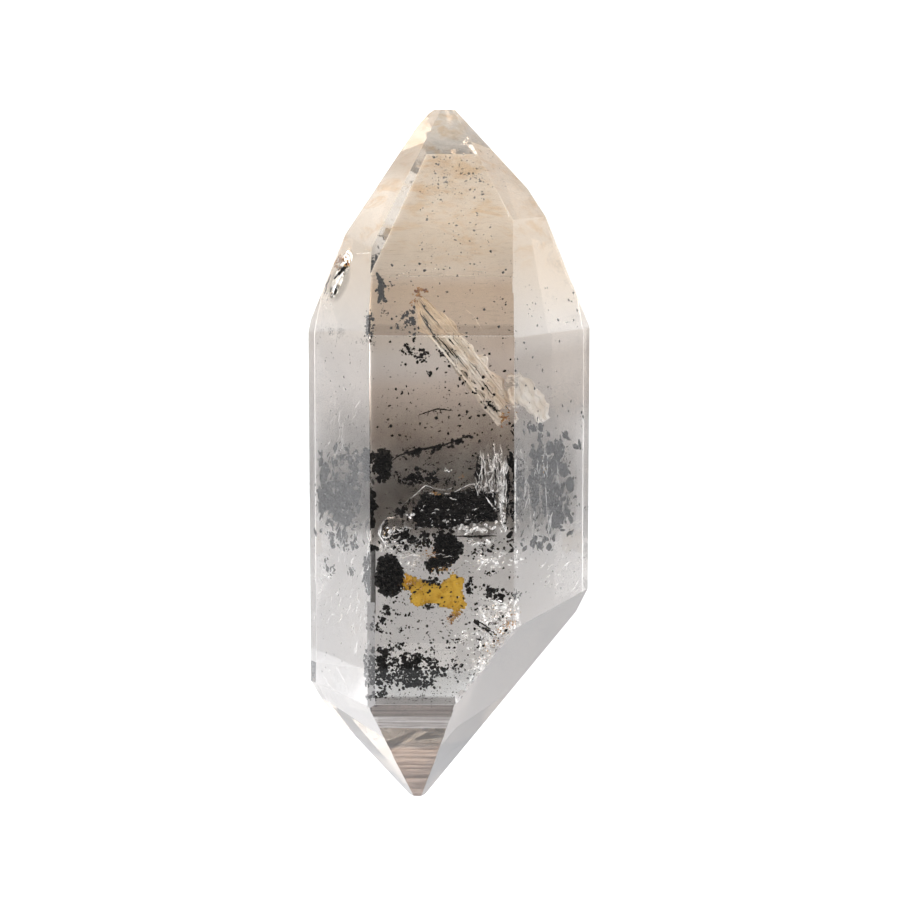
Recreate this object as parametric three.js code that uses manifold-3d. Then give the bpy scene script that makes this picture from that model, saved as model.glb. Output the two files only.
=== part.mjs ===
// Enhydro quartz crystal: a clear, doubly terminated quartz prism that holds bitumen, oil and a fluid chamber
// with a gas bubble. It lies on its back prism face. Millimetres, the long axis along Y, +Z up.

import * as THREE from 'three';
import { ConvexGeometry } from 'three/addons/geometries/ConvexGeometry.js';
import { mergeVertices } from 'three/addons/utils/BufferGeometryUtils.js';
import Module from 'manifold-3d';

const wasm = await Module();
wasm.setup();

// Driving dimensions
const LENGTH = 65;
const FRONT_DISTANCE = 11.4;
const BACK_DISTANCE = 9.1;
const PARTING_DEPTH = 2.9;
const GAP = 0.3;

// Prism faces. The azimuth is the way a face looks, in degrees from +Z towards +X, and the distance is
// how far it lies from the long axis.
const PRISM = {
  front: { azimuth: 0, distance: FRONT_DISTANCE },
  frontRight: { azimuth: 59, distance: 11.1 },
  backRight: { azimuth: 120, distance: 11.6 },
  back: { azimuth: 180, distance: BACK_DISTANCE },
  backLeft: { azimuth: 240, distance: 11.0 },
  frontLeft: { azimuth: 300, distance: 11.7 },
};

// End faces. The slope is the angle between a face and the long axis. The shoulder is the height, from the
// middle of the crystal's length, at which the face meets the prism face under it.
const END_FACES = [
  { over: 'front', azimuth: 0, slope: 36, shoulder: 12.8 },
  { over: 'frontRight', azimuth: 59.5, slope: 40.5, shoulder: 18.1 },
  { over: 'backRight', azimuth: 120, slope: 37, shoulder: 19.9 },
  { over: 'back', azimuth: 180, slope: 38.2, shoulder: 26.1 },
  { over: 'backLeft', azimuth: 240, slope: 37.8, shoulder: 22.9 },
  { over: 'frontLeft', azimuth: 302, slope: 39, shoulder: 16.9 },
  { over: 'front', azimuth: 0, slope: 41.2, shoulder: -21 },
  { over: 'frontRight', azimuth: 63, slope: 34, shoulder: -13.2 },
  { over: 'backRight', azimuth: 120, slope: 38.2, shoulder: -15.1 },
  { over: 'back', azimuth: 180, slope: 38.2, shoulder: -21 },
  { over: 'backLeft', azimuth: 240, slope: 42.2, shoulder: -23.9 },
  { over: 'frontLeft', azimuth: 300, slope: 36.7, shoulder: -21.3 },
];

// Steep faces between the prism and the top end's faces, and the sliver of one beside the front end face.
const STEEP_FACES = [
  { over: 'frontRight', azimuth: 59.5, slope: 20.5, shoulder: 12.5 },
  { over: 'backRight', azimuth: 120, slope: 17.5, shoulder: 12.5 },
  { over: 'backLeft', azimuth: 240, slope: 19.4, shoulder: 13.2 },
  { over: 'frontLeft', azimuth: 298, slope: 20, shoulder: 12.6 },
  { over: 'frontLeft', azimuth: 300.5, slope: 21.5, shoulder: 13.2 },
  { over: 'front', azimuth: 13.5, slope: 37, shoulder: 14.6 },
];

// Growth ledges. Beyond its line a face lies deeper by the total given.
const LEDGES = [
  { over: 'front', azimuth: 0, slope: 41.2, shoulder: -21, line: -21.6, depth: 0.1 },
  { over: 'front', azimuth: 0, slope: 41.2, shoulder: -21, line: -24.4, depth: 0.2 },
  { over: 'front', azimuth: 0, slope: 41.2, shoulder: -21, line: -27.4, depth: 0.3 },
  { over: 'front', azimuth: 0, slope: 36, shoulder: 12.8, line: 17.8, depth: 0.1 },
  { over: 'frontRight', azimuth: 59.5, slope: 20.5, shoulder: 12.5, line: 16.4, depth: 0.1 },
];

// The narrow bevel along the lower part of the front left edge.
const EDGE_BEVEL = { azimuth: 324, distance: 13.05, line: -11.5 };

// Shell-shaped chips: the notch in the left shoulder, and a row along the edge from the front face to the
// lower right end face.
const NOTCHES = [
  { at: [-10.3, 17.0, 2.3], radius: [1.2, 1.9, 1.2], lift: 0.5 },
  { at: [-9.5, 18.7, 2.5], radius: [1.3, 1.6, 1.3], lift: 0.6 },
];
const CHIPPED_EDGE = { from: [6.1, -14.2, 11.4], to: [0.9, -20.8, 11.4], out: [0.48, -0.32, 0.82], count: 7 };

// Sealed pieces. Each has an outline seen from the front, and reaches above and below the parting plane.
const SEALED = {
  bitumen_plate: {
    outline: [[-3.1, -3.2], [-2.1, -1.5], [-0.9, -1.9], [0.6, -1.7], [2.7, -1.1], [3.2, -1.6], [4.5, -1.7],
      [4.6, -4.2], [2.8, -4.5], [0.3, -5.0], [-2.2, -5.0], [-3.2, -4.5]],
    above: 0.5, below: 0.9, round: 0.25, material: 'bitumen',
  },
  bitumen_lump_center: {
    outline: [[-0.7, -5.6], [0.6, -5.6], [1.3, -6.5], [1.4, -7.2], [0.5, -8.2], [-0.5, -8.9], [-1.6, -9.1],
      [-1.9, -8.3], [-1.2, -7.5], [-1.2, -6.4]],
    above: 1, below: 1.4, round: 0.4, material: 'bitumen',
  },
  bitumen_lump_left: {
    outline: [[-6.1, -7.4], [-5.1, -7.4], [-4.5, -8.0], [-4.1, -9.0], [-3.9, -10.0], [-4.4, -11.1],
      [-5.6, -11.3], [-6.4, -10.5], [-6.5, -9.4], [-6.3, -8.4]],
    above: 1, below: 1.4, round: 0.7, material: 'bitumen',
  },
  bitumen_lump_upper_left: {
    outline: [[-6.5, 2.0], [-5.7, 2.3], [-5.0, 1.5], [-5.1, 0.2], [-5.5, -0.7], [-6.3, -0.5], [-6.5, 0.6]],
    above: 0.7, below: 1.3, round: 0.5, material: 'bitumen',
  },
  bitumen_band_low: {
    outline: [[-6.5, -16.6], [-5.5, -16.3], [-4.8, -17.1], [-3.6, -16.6], [-2.0, -16.9], [-0.8, -17.6],
      [-0.9, -19.0], [-2.5, -19.7], [-4.3, -19.4], [-5.6, -20.0], [-6.5, -19.3]],
    above: 0.6, below: 1.2, round: 0.45, material: 'bitumen',
  },
  oil_pool: {
    outline: [[-3.4, -9.2], [-2.5, -9.6], [-0.7, -10.2], [0.5, -9.1], [1.8, -9.8], [1.5, -10.7], [1.9, -12.6],
      [0.7, -12.7], [-1.3, -12.0], [-2.6, -12.3], [-3.5, -11.9]],
    above: 0.4, below: 0.8, round: 0.3, material: 'oil',
  },
  fluid_chamber: {
    outline: [[-5.3, -4.0], [-4.5, -3.9], [-3.8, -4.6], [-3.6, -5.5], [-4.2, -6.3], [-5.1, -6.6], [-5.9, -6.1],
      [-6.2, -5.3], [-5.9, -4.5]],
    above: 1.1, below: 1.3, round: 0.7, material: 'fluid',
  },
};
const BUBBLE = { at: [-4.9, -5.3], rise: 0.55, radius: 0.45 };

const MATERIALS = {
  quartz: new THREE.MeshStandardMaterial({ color: 0xe4e0df, roughness: 0.06, metalness: 0 }),
  bitumen: new THREE.MeshStandardMaterial({ color: 0x17140f, roughness: 0.45, metalness: 0 }),
  oil: new THREE.MeshStandardMaterial({ color: 0xc8a43c, roughness: 0.12, metalness: 0 }),
  fluid: new THREE.MeshStandardMaterial({ color: 0xd5dadc, roughness: 0.08, metalness: 0 }),
  gas: new THREE.MeshStandardMaterial({ color: 0xf3f5f6, roughness: 0.05, metalness: 0 }),
};

const REACH = 40;
const PARTING_HEIGHT = FRONT_DISTANCE - PARTING_DEPTH;

// A face's outward direction. A prism face has no slope.
function outward({ azimuth, slope = 0, shoulder = 0 }) {
  const turn = THREE.MathUtils.degToRad(azimuth);
  const lean = THREE.MathUtils.degToRad(slope);
  const flat = Math.cos(lean);
  return new THREE.Vector3(flat * Math.sin(turn), Math.sign(shoulder) * Math.sin(lean), flat * Math.cos(turn));
}

// A face as a plane, with the crystal's middle at the origin and inside it.
function facePlane(face) {
  const lean = THREE.MathUtils.degToRad(face.slope ?? 0);
  const distance = face.over ? PRISM[face.over].distance : face.distance;
  const offset = Math.cos(lean) * distance + Math.sin(lean) * Math.abs(face.shoulder ?? 0);
  return new THREE.Plane(outward(face), -offset);
}

// The point that three planes share, or null where two of them run alongside.
function sharedPoint(a, b, c) {
  const spread = a.normal.dot(new THREE.Vector3().crossVectors(b.normal, c.normal));
  if (Math.abs(spread) < 1e-6) {
    return null;
  }
  const point = new THREE.Vector3();
  for (const [one, two, three] of [[a, b, c], [b, c, a], [c, a, b]]) {
    const across = new THREE.Vector3().crossVectors(two.normal, three.normal);
    point.addScaledVector(across, -one.constant / spread);
  }
  return point;
}

// The corners of the solid that all the planes enclose.
function cornersInside(planes) {
  const corners = [];
  for (let i = 0; i < planes.length; i += 1) {
    for (let j = i + 1; j < planes.length; j += 1) {
      for (let k = j + 1; k < planes.length; k += 1) {
        const point = sharedPoint(planes[i], planes[j], planes[k]);
        if (point && planes.every((plane) => plane.distanceToPoint(point) < 1e-6)) {
          corners.push(point);
        }
      }
    }
  }
  return corners.filter((p, i) => corners.findIndex((q) => p.distanceTo(q) < 1e-3) === i);
}

// A closed geometry as a solid that can be cut and joined.
function toSolid(geometry) {
  const bare = geometry.clone();
  bare.deleteAttribute('normal');
  bare.deleteAttribute('uv');
  const merged = mergeVertices(bare, 1e-4);
  const vertProperties = new Float32Array(merged.attributes.position.array);
  const triVerts = new Uint32Array(merged.index.array);
  return new wasm.Manifold(new wasm.Mesh({ numProp: 3, vertProperties, triVerts }));
}

function toGeometry(solid) {
  const { vertProperties, triVerts } = solid.getMesh();
  const geometry = new THREE.BufferGeometry();
  geometry.setAttribute('position', new THREE.BufferAttribute(vertProperties, 3));
  geometry.setIndex(new THREE.BufferAttribute(triVerts, 1));
  geometry.computeVertexNormals();
  return geometry;
}

// A big block that holds whatever lies outside a plane, beyond a line across it towards the face's end.
function blockOutside(plane, line, end) {
  const across = new THREE.Vector3(plane.normal.z, 0, -plane.normal.x).normalize();
  const along = new THREE.Vector3().crossVectors(plane.normal, across).normalize();
  if (along.y * end < 0) {
    along.negate();
    across.negate();
  }
  const middle = new THREE.Vector3(plane.normal.x, 0, plane.normal.z).normalize();
  const start = middle.multiplyScalar((-plane.constant - plane.normal.y * line) / middle.dot(plane.normal));
  start.y = line;
  const block = new THREE.BoxGeometry(REACH, REACH, REACH);
  block.translate(0, REACH / 2, REACH / 2);
  block.applyMatrix4(new THREE.Matrix4().makeBasis(across, along, plane.normal).setPosition(start));
  return toSolid(block);
}

// The whole crystal, with blunt tips and no cuts yet.
function makeHabit() {
  const faces = [...Object.values(PRISM), ...END_FACES, ...STEEP_FACES];
  const tips = [1, -1].map((end) => new THREE.Plane(new THREE.Vector3(0, end, 0), -LENGTH / 2));
  return toSolid(new ConvexGeometry(cornersInside([...faces.map(facePlane), ...tips])));
}

function cutLedges(crystal) {
  let cut = crystal;
  for (const ledge of LEDGES) {
    const plane = facePlane(ledge);
    plane.constant += ledge.depth;
    cut = cut.subtract(blockOutside(plane, ledge.line, Math.sign(ledge.shoulder)));
  }
  return cut.subtract(blockOutside(facePlane(EDGE_BEVEL), EDGE_BEVEL.line, -1));
}

// A shell-shaped hollow where a chip has come away.
function chip(center, radii) {
  const shell = new THREE.IcosahedronGeometry(1, 1);
  shell.scale(...radii);
  shell.translate(...center);
  return toSolid(shell);
}

function cutChips(crystal) {
  let cut = crystal;
  const leftShoulder = outward(STEEP_FACES[3]);
  for (const notch of NOTCHES) {
    const center = new THREE.Vector3(...notch.at).addScaledVector(leftShoulder, notch.lift);
    cut = cut.subtract(chip(center.toArray(), notch.radius));
  }
  const from = new THREE.Vector3(...CHIPPED_EDGE.from);
  const to = new THREE.Vector3(...CHIPPED_EDGE.to);
  const out = new THREE.Vector3(...CHIPPED_EDGE.out).normalize();
  for (let i = 0; i < CHIPPED_EDGE.count; i += 1) {
    const radius = 0.55 + 0.2 * Math.sin(2.4 * i);
    const center = from.clone().lerp(to, (i + 0.5) / CHIPPED_EDGE.count);
    center.addScaledVector(out, 0.5 * radius);
    cut = cut.subtract(chip(center.toArray(), [radius, 1.3 * radius, radius]));
  }
  return cut;
}

// A sealed piece, or with grow set the pocket around it, pillowed at its rim.
function sealedForm({ outline, above, below, round }, grow) {
  const shape = new THREE.Shape(outline.map(([x, y]) => new THREE.Vector2(x, y)));
  const form = new THREE.ExtrudeGeometry(shape, {
    depth: above + below - 2 * round,
    bevelThickness: round + grow,
    bevelSize: round,
    bevelOffset: grow - round,
    bevelSegments: 2,
  });
  form.translate(0, 0, PARTING_HEIGHT - below + round);
  return toSolid(form);
}

// The half of the crystal in front of the parting plane, or behind it, less half of the gap between them.
function halfOf(crystal, side) {
  const keep = new THREE.BoxGeometry(2 * REACH, 2 * REACH, REACH);
  keep.translate(0, 0, PARTING_HEIGHT + side * (GAP / 2 + REACH / 2));
  return crystal.intersect(toSolid(keep));
}

const group = new THREE.Group();

function addPiece(name, solid, material) {
  const mesh = new THREE.Mesh(toGeometry(solid), MATERIALS[material]);
  mesh.name = name;
  group.add(mesh);
}

let crystal = cutChips(cutLedges(makeHabit()));
const size = crystal.boundingBox();
for (const form of Object.values(SEALED)) {
  crystal = crystal.subtract(sealedForm(form, GAP));
}
addPiece('crystal_front', halfOf(crystal, 1), 'quartz');
addPiece('crystal_back', halfOf(crystal, -1), 'quartz');

const bubbleCenter = [...BUBBLE.at, PARTING_HEIGHT + BUBBLE.rise];
const bubbleRadii = Array(3).fill(BUBBLE.radius);
const dimpleRadii = Array(3).fill(BUBBLE.radius + GAP);
for (const [name, form] of Object.entries(SEALED)) {
  const whole = sealedForm(form, 0);
  const solid = name === 'fluid_chamber' ? whole.subtract(chip(bubbleCenter, dimpleRadii)) : whole;
  addPiece(name, solid, form.material);
}
addPiece('gas_bubble', chip(bubbleCenter, bubbleRadii), 'gas');

// The origin is under the middle of the crystal's box, on the face that it lies on.
group.position.set(-(size.min[0] + size.max[0]) / 2, -(size.min[1] + size.max[1]) / 2, BACK_DISTANCE);

export default group;
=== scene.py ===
"""Dresses the enhydro quartz crystal: clear quartz with bitumen, oil, a fluid chamber, veils and tubes.

Lengths are in millimetres in the part's frame (Y along the crystal, Z up from the face that it lies on), and
every mesh is scaled to metres as it is made. Where a list gives places "in the view", they are millimetres on
a plane across the camera's view at the front face, from the picture's middle, with a depth in the quartz.
"""

import itertools
import math

import bmesh
import bpy
import numpy as np
from mathutils import Matrix, Vector, noise
from mathutils.bvhtree import BVHTree


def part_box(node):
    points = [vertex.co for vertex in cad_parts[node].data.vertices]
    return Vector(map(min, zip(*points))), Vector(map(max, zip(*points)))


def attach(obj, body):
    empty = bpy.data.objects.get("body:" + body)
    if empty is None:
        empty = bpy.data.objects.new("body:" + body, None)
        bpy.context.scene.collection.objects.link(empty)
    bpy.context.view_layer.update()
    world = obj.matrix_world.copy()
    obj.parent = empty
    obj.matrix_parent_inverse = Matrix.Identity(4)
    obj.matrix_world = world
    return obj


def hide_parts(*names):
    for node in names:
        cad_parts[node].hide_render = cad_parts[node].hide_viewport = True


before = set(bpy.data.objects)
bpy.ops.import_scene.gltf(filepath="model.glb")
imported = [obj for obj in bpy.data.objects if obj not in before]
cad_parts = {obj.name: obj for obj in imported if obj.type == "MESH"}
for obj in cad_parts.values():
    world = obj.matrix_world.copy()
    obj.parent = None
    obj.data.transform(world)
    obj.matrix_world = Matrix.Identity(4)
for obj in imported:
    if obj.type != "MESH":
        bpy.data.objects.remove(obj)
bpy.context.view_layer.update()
MM = 0.001
NOISE_SEED = 5
noise.seed_set(NOISE_SEED)

# Driving dimensions of the crystal
LENGTH = 65.0
FRONT_DISTANCE = 11.4
BACK_DISTANCE = 9.1
FRONT_HEIGHT = FRONT_DISTANCE + BACK_DISTANCE
QUARTZ_IOR = 1.544

# The fine bevel on every edge of the crystal, and the size of the blocks that cut a face back.
EDGE_WIDTH = 0.018
CUTTER_SIZE = 40.0

# Prism faces: the way each looks, in degrees from +Z towards +X, and its distance from the long axis.
PRISM = {
    "front": (0, FRONT_DISTANCE),
    "front_right": (59, 11.1),
    "back_right": (120, 11.6),
    "back": (180, BACK_DISTANCE),
    "back_left": (240, 11.0),
    "front_left": (300, 11.7),
}

# End faces and the steep faces under them: the prism face below, azimuth, slope against the long axis, and
# the height at which the face meets that prism face. A negative height is at the lower end.
END_FACES = [
    ("front", 0, 36, 12.8),
    ("front_right", 59.5, 40.5, 18.1),
    ("back_right", 120, 37, 19.9),
    ("back", 180, 38.2, 26.1),
    ("back_left", 240, 37.8, 22.9),
    ("front_left", 302, 39, 16.9),
    ("front", 0, 41.2, -21),
    ("front_right", 63, 34, -13.2),
    ("back_right", 120, 38.2, -15.1),
    ("back", 180, 38.2, -21),
    ("back_left", 240, 42.2, -23.9),
    ("front_left", 300, 36.7, -21.3),
    ("front_right", 59.5, 20.5, 12.5),
    ("back_right", 120, 17.5, 12.5),
    ("back_left", 240, 19.4, 13.2),
    ("front_left", 298, 20, 12.6),
    ("front_left", 300.5, 21.5, 13.2),
    ("front", 13.5, 37, 14.6),
]

# Rows of the faces that show in the photo's view: in the list above, and of the two sides in PRISM.
TOP_FRONT, TOP_RIGHT, TOP_LEFT = 0, 1, 5
LOW_FRONT, LOW_RIGHT, LOW_LEFT = 6, 7, 11
RIGHT_SHOULDER, LEFT_SHOULDER = 12, 15
RIGHT_SIDE, LEFT_SIDE = 1, 5

# Growth ledges: which end face, the height beyond which it lies deeper, and how much deeper in all.
LEDGES = [
    (LOW_FRONT, -21.6, 0.1),
    (LOW_FRONT, -24.4, 0.2),
    (LOW_FRONT, -27.4, 0.3),
    (TOP_FRONT, 17.8, 0.1),
    (RIGHT_SHOULDER, 16.4, 0.1),
]

# The narrow bevel along the lower part of the front left edge: azimuth, distance and upper end.
EDGE_BEVEL = (324, 13.05, -11.5)

# Shell-shaped chips: the two of the notch in the left shoulder, with the middle of the darkening about it, and
# a row along the lower right edge.
NOTCHES = [((-10.3, 17.0, 2.3), (1.2, 1.9, 1.2), 0.5), ((-9.5, 18.7, 2.5), (1.3, 1.6, 1.3), 0.6)]
NOTCH_DARKENING_MIDDLE = (-10.4, 17.0, 12.0)
CHIPS_FROM = Vector((6.1, -14.2, 11.4))
CHIPS_TO = Vector((0.9, -20.8, 11.4))
CHIPS_OUT = Vector((0.48, -0.32, 0.82)).normalized()
CHIP_COUNT = 7

# The photo's view: the camera's lean from straight above, its distance, and what it looks at.
CAMERA_LEAN_Y = 8.42
CAMERA_LEAN_X = 0.98
CAMERA_DISTANCE = 258.6
CAMERA_AIM = Vector((0.08, 0.8, BACK_DISTANCE))
CAMERA_LENS = 109.96
PICTURE_DISTANCE = 247.4

LEAN = [math.tan(math.radians(lean)) for lean in (CAMERA_LEAN_X, CAMERA_LEAN_Y)]
VIEW_BACK = Vector((*LEAN, 1)).normalized()
VIEW_UP = (Vector((0, 1, 0)) - VIEW_BACK * VIEW_BACK.y).normalized()
VIEW_RIGHT = VIEW_UP.cross(VIEW_BACK)
EYE = CAMERA_AIM + VIEW_BACK * CAMERA_DISTANCE


# The crystal's form

def plane_of(over, azimuth, slope, shoulder):
    """A face as its outward direction and its distance from the crystal's middle."""
    turn, lean = math.radians(azimuth), math.radians(slope)
    normal = np.array([
        math.cos(lean) * math.sin(turn),
        math.copysign(math.sin(lean), shoulder),
        math.cos(lean) * math.cos(turn),
    ])
    return normal, math.cos(lean) * PRISM[over][1] + math.sin(lean) * abs(shoulder)


def corners_inside(planes):
    """The corners of the solid that all the planes enclose."""
    normals = np.array([plane[0] for plane in planes])
    distances = np.array([plane[1] for plane in planes])
    corners = []
    for three in itertools.combinations(range(len(planes)), 3):
        rows = normals[list(three)]
        if abs(np.linalg.det(rows)) > 1e-6:
            point = np.linalg.solve(rows, distances[list(three)])
            if (normals @ point <= distances + 1e-6).all():
                corners.append(tuple(np.round(point, 5)))
    return np.array(sorted(set(corners)))


FACES = [plane_of(name, PRISM[name][0], 0, 1) for name in PRISM]
FACES += [plane_of(*face) for face in END_FACES]
FACES += [(np.array([0.0, end, 0.0]), LENGTH / 2) for end in (1, -1)]
CORNERS = corners_inside(FACES)
HABIT_MIDDLE = (CORNERS.min(axis=0) + CORNERS.max(axis=0)) / 2
SHIFT = np.array([-HABIT_MIDDLE[0], -HABIT_MIDDLE[1], BACK_DISTANCE])
NORMALS = np.array([normal for normal, _ in FACES])
REACHES = np.array([distance for _, distance in FACES]) + NORMALS @ SHIFT


def new_object(name, data):
    piece = bpy.data.objects.new(name, data)
    bpy.context.scene.collection.objects.link(piece)
    return piece


def mesh_object(name, build):
    mesh = bpy.data.meshes.new(name)
    build.to_mesh(mesh)
    build.free()
    return new_object(name, mesh)


def cutter_box(normal, distance, line, end):
    """A block that holds what lies outside a plane, beyond a height on it towards one end."""
    normal = Vector(normal)
    across = Vector((normal.z, 0, -normal.x)).normalized()
    along = normal.cross(across)
    if along.y * end < 0:
        along.negate()
        across.negate()
    flat = Vector((normal.x, 0, normal.z)).normalized()
    start = flat * ((distance - normal.y * line) / flat.dot(normal))
    start.y = line
    build = bmesh.new()
    bmesh.ops.create_cube(build, size=CUTTER_SIZE)
    bmesh.ops.translate(build, verts=build.verts, vec=(0, CUTTER_SIZE / 2, CUTTER_SIZE / 2))
    place = Matrix((across, along, normal)).transposed().to_4x4()
    place.translation = start + Vector(SHIFT)
    bmesh.ops.transform(build, matrix=place, verts=build.verts)
    bmesh.ops.recalc_face_normals(build, faces=build.faces)
    return mesh_object("cutter", build)


def cutter_shell(center, radii):
    build = bmesh.new()
    bmesh.ops.create_icosphere(build, subdivisions=3, radius=1)
    for vertex in build.verts:
        rough = 1 + 0.05 * noise.noise(vertex.co * 3 + Vector(center))
        point = Vector([a * b * rough for a, b in zip(vertex.co, radii)])
        vertex.co = point + Vector(center) + Vector(SHIFT)
    return mesh_object("cutter", build)


def cut_away(piece, cutters):
    for cutter in cutters:
        step = piece.modifiers.new("cut", "BOOLEAN")
        step.operation = "DIFFERENCE"
        step.solver = "EXACT"
        step.object = cutter
    shape = piece.evaluated_get(bpy.context.evaluated_depsgraph_get())
    mesh = bpy.data.meshes.new_from_object(shape)
    piece.modifiers.clear()
    piece.data = mesh
    for cutter in cutters:
        bpy.data.objects.remove(cutter)


def make_crystal():
    """The whole crystal: flat faces with fine bevels, the ledges, the edge bevel and the chips."""
    build = bmesh.new()
    for corner in CORNERS:
        build.verts.new(Vector(corner + SHIFT))
    bmesh.ops.convex_hull(build, input=build.verts)
    bmesh.ops.dissolve_limit(build, angle_limit=math.radians(0.2), verts=build.verts, edges=build.edges)
    bmesh.ops.bevel(build, geom=build.edges[:], offset=EDGE_WIDTH, segments=1, affect="EDGES", profile=0.5)
    bmesh.ops.recalc_face_normals(build, faces=build.faces)
    piece = mesh_object("quartz_crystal", build)
    cutters = []
    for face, line, depth in LEDGES:
        normal, distance = plane_of(*END_FACES[face])
        cutters.append(cutter_box(normal, distance - depth, line, math.copysign(1, END_FACES[face][3])))
    azimuth, distance, line = EDGE_BEVEL
    turn = math.radians(azimuth)
    cutters.append(cutter_box((math.sin(turn), 0, math.cos(turn)), distance, line, -1))
    outward = Vector(plane_of(*END_FACES[LEFT_SHOULDER])[0])
    for center, radii, lift in NOTCHES:
        cutters.append(cutter_shell(Vector(center) + outward * lift, radii))
    for i in range(CHIP_COUNT):
        radius = 0.55 + 0.2 * math.sin(2.4 * i)
        center = CHIPS_FROM.lerp(CHIPS_TO, (i + 0.5) / CHIP_COUNT) + CHIPS_OUT * (radius / 2)
        cutters.append(cutter_shell(center, (radius, 1.3 * radius, radius)))
    cut_away(piece, cutters)
    return piece


# Places in the crystal

def into(x, y, depth):
    """Points in the quartz that the camera sees at x, y in the view, at a depth along the bent ray."""
    x, y, depth = np.broadcast_arrays(*(np.asarray(v, float) for v in (x, y, depth)))
    way = x[..., None] * np.array(VIEW_RIGHT) + y[..., None] * np.array(VIEW_UP)
    way = way - PICTURE_DISTANCE * np.array(VIEW_BACK)
    way /= np.linalg.norm(way, axis=-1, keepdims=True)
    eye = np.array(EYE)
    facing = way @ NORMALS.T
    reach = np.where(facing < -1e-6, (REACHES - NORMALS @ eye) / np.minimum(facing, -1e-6), -np.inf)
    start = eye + way * reach.max(axis=-1)[..., None]
    normal = NORMALS[reach.argmax(axis=-1)]
    cosine = -(way * normal).sum(axis=-1)
    ratio = 1 / QUARTZ_IOR
    straight = ratio * cosine - np.sqrt(1 - ratio ** 2 * (1 - cosine ** 2))
    bent = ratio * way + straight[..., None] * normal
    leaving = bent @ NORMALS.T
    room = np.where(leaving > 1e-6, (REACHES - start @ NORMALS.T) / np.maximum(leaving, 1e-6), np.inf)
    depth = np.minimum(depth, 0.9 * room.min(axis=-1))
    return start + bent * depth[..., None]


def in_quartz(points, margin):
    """Which points lie inside the crystal, and how deep: a margin for each point."""
    return (points @ NORMALS.T + np.asarray(margin)[:, None] <= REACHES).all(axis=1)


def turns(rng, count):
    """Rotations spread evenly over all directions."""
    q = rng.normal(size=(count, 4))
    w, x, y, z = (q / np.linalg.norm(q, axis=1, keepdims=True)).T
    rows = [
        [1 - 2 * (y * y + z * z), 2 * (x * y - z * w), 2 * (x * z + y * w)],
        [2 * (x * y + z * w), 1 - 2 * (x * x + z * z), 2 * (y * z - x * w)],
        [2 * (x * z - y * w), 2 * (y * z + x * w), 1 - 2 * (x * x + y * y)],
    ]
    return np.array(rows).transpose(2, 0, 1)


def ball(subdivisions):
    build = bmesh.new()
    bmesh.ops.create_icosphere(build, subdivisions=subdivisions, radius=1)
    points = np.array([v.co for v in build.verts])
    faces = np.array([[v.index for v in f.verts] for f in build.faces])
    build.free()
    return points, faces


GRAIN = (
    np.array([[1, 0, 0], [-1, 0, 0], [0, 1, 0], [0, -1, 0], [0, 0, 1], [0, 0, -1]], float),
    np.array([[0, 2, 4], [2, 1, 4], [1, 3, 4], [3, 0, 4], [2, 0, 5], [1, 2, 5], [3, 1, 5], [0, 3, 5]]),
)
CRUMB = ball(1)
PEBBLE = ball(3)
LARGE_GRAIN = 0.14
WISP_RADIUS = 0.035


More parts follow.
